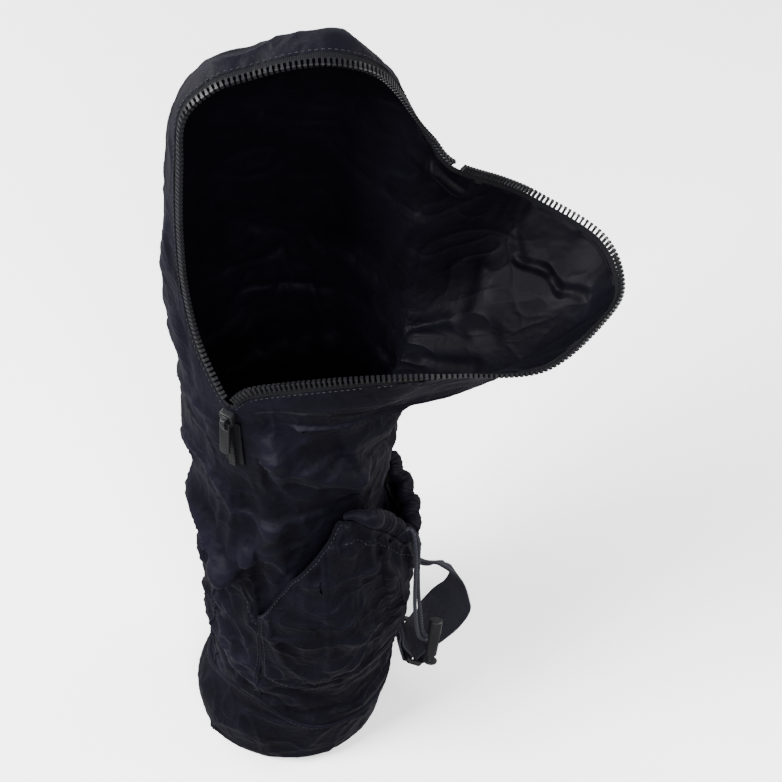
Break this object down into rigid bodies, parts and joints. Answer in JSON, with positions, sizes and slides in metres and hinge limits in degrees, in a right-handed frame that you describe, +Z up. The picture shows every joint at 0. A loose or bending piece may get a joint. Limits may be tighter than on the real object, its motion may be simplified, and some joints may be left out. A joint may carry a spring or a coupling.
{
  "type": "yoga mat bag",
  "caption": "Tall soft cylindrical carrying bag, its long front zip pulled open into a scoop, with a hood, a drawstring side pocket with cord lock, and a webbing shoulder strap.",
  "frame": {"origin": "on the flat underside of the base, close to its centre", "axes": "+Z up along the tube, the open front zip faces -Y and the pulled-out scoop reaches along +X"},
  "size_m": [0.298, 0.1854, 0.6524],
  "materials": {
    "cloth": "dark navy crinkled nylon with a soft purple sheen",
    "zip_tape": "black woven polyester tape",
    "moulded": "black satin moulded plastic",
    "cord": "dark braided round cord",
    "webbing": "dark woven polyester webbing"
  },
  "bodies": {
    "bag": {"base_cup": "cloth", "tube_lower": "cloth", "front_flap": "cloth", "side_wall_right": "cloth", "side_wall_left": "cloth", "back_panel": "cloth", "hood": "cloth", "side_pocket": "cloth", "pocket_channel": "cloth", "zip_tape_flap": "zip_tape", "zip_tape_bag": "zip_tape", "zip_closed_tape": "zip_tape", "zip_teeth_flap": "moulded", "zip_teeth_bag": "moulded", "zip_closed_teeth": "moulded", "zip_slider": "moulded", "drawcord_a": "cord", "drawcord_b": "cord", "cord_lock_barrel": "moulded", "strap_ring": "moulded", "strap_tab": "webbing", "shoulder_strap": "webbing"},
    "zip_pull": {"zip_pull": "moulded"},
    "lock_button": {"cord_lock_button": "moulded"}
  },
  "joints": [
    {"name": "pull_swing", "type": "hinge", "parent": "bag", "child": "zip_pull", "pos_m": [-0.02544, -0.07023, 0.41407], "axis": [-0.8548, 0.5133, 0.0762], "range_deg": [0, 110]},
    {"name": "button_press", "type": "slide", "parent": "bag", "child": "lock_button", "axis": [0.1206, 0.3617, 0.9244], "range_m": [0, 0.0035], "stiffness_N_per_m": 150}
  ]
}
